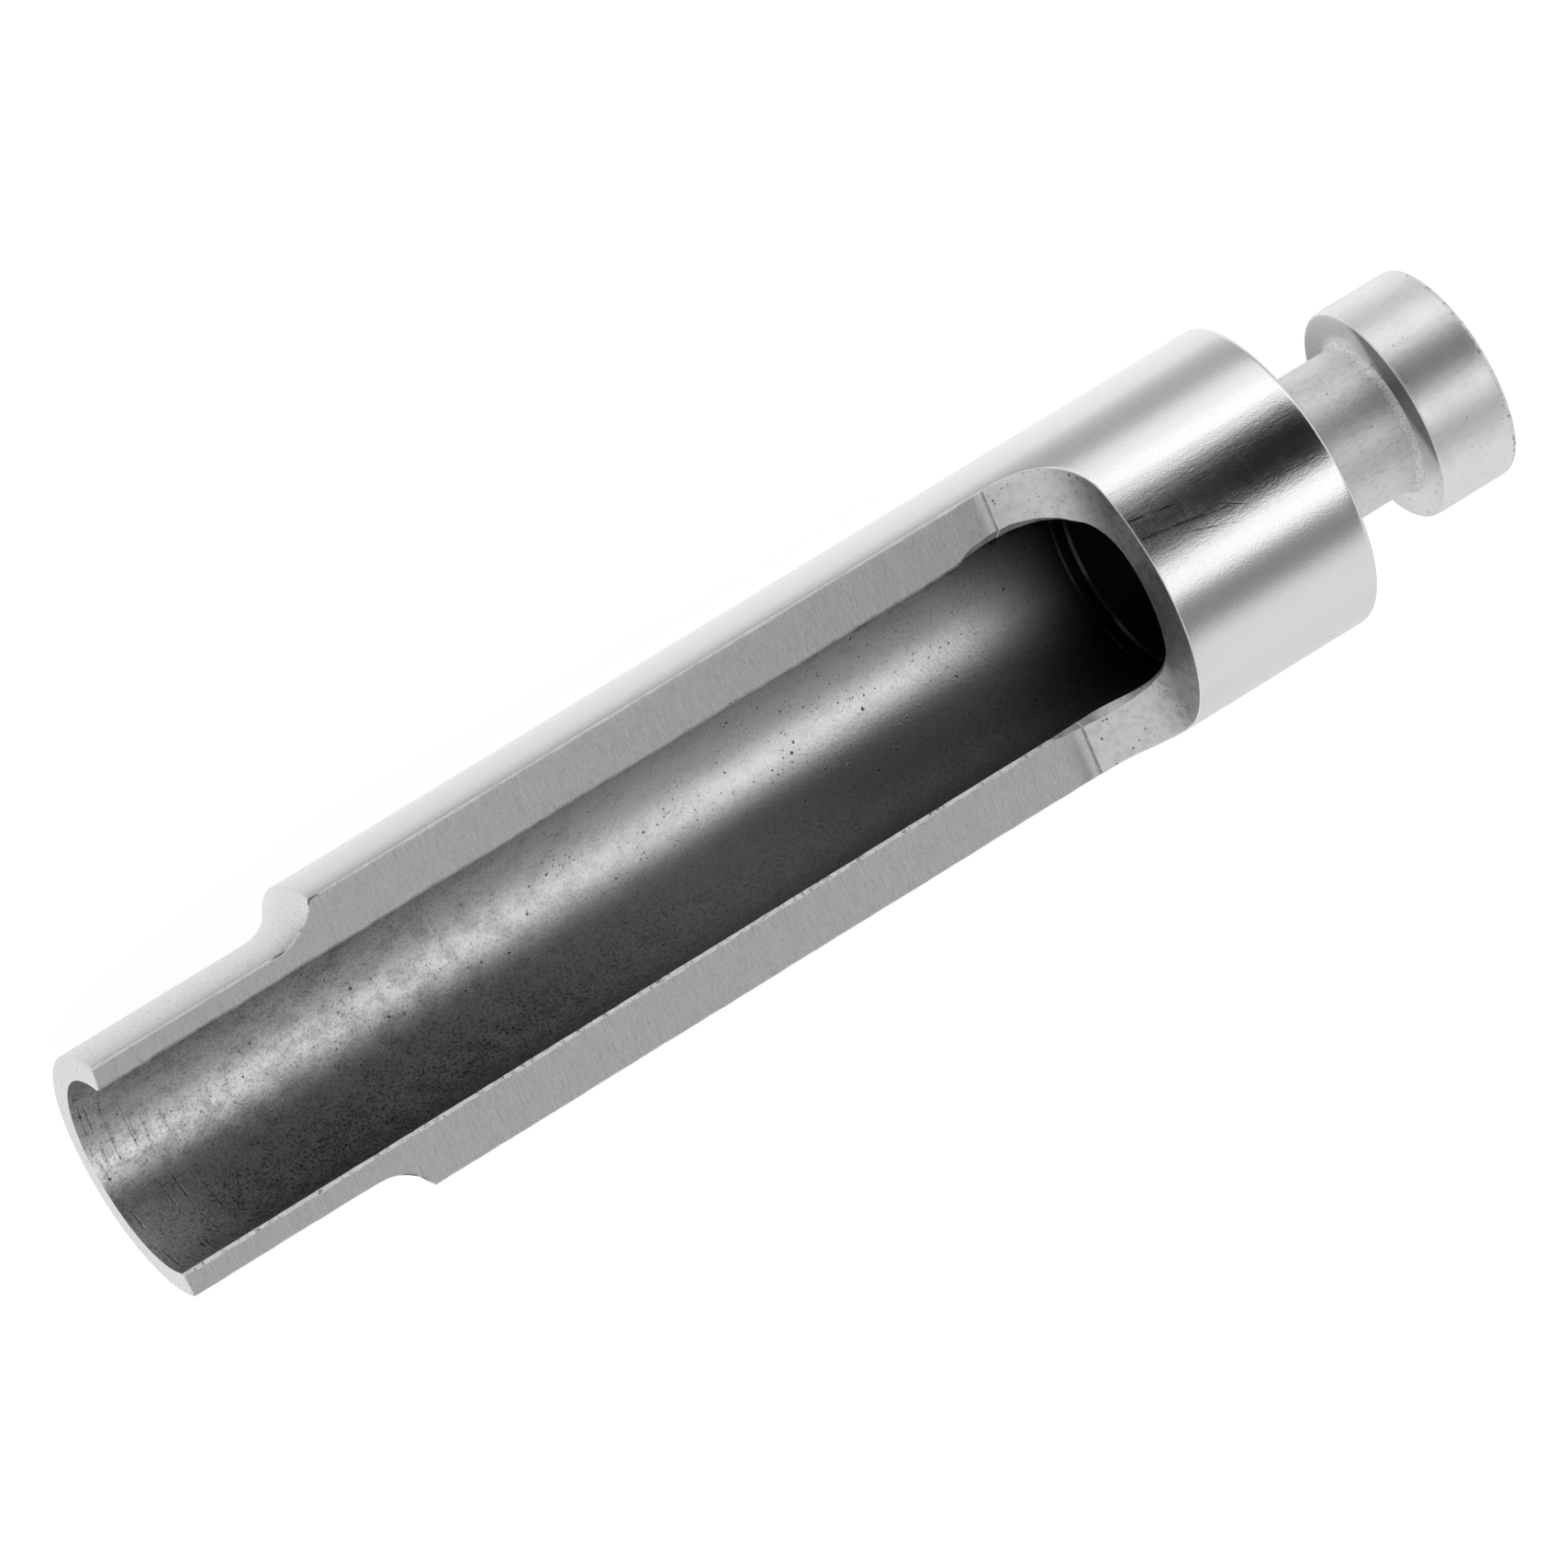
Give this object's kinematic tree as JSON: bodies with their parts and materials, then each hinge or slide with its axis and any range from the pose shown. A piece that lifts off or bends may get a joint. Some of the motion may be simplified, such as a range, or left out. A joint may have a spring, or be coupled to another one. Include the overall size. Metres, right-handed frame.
{
  "type": "nibbler punch",
  "caption": "Hollow steel nibbler punch: hook head and neck, round guide shank, open chip trough with ground flats, stepped tubular cutting nose.",
  "frame": {"origin": "centre of the flat end face of the head", "axes": "+X along the punch's axis towards the cutting nose, +Z out of the open side of the trough"},
  "size_m": [0.0707, 0.015, 0.015],
  "materials": {
    "tool_steel": "turned, reamed and fine-ground bare steel, satin on the head and neck"
  },
  "bodies": {
    "root": {"punch": "tool_steel"}
  },
  "joints": []
}
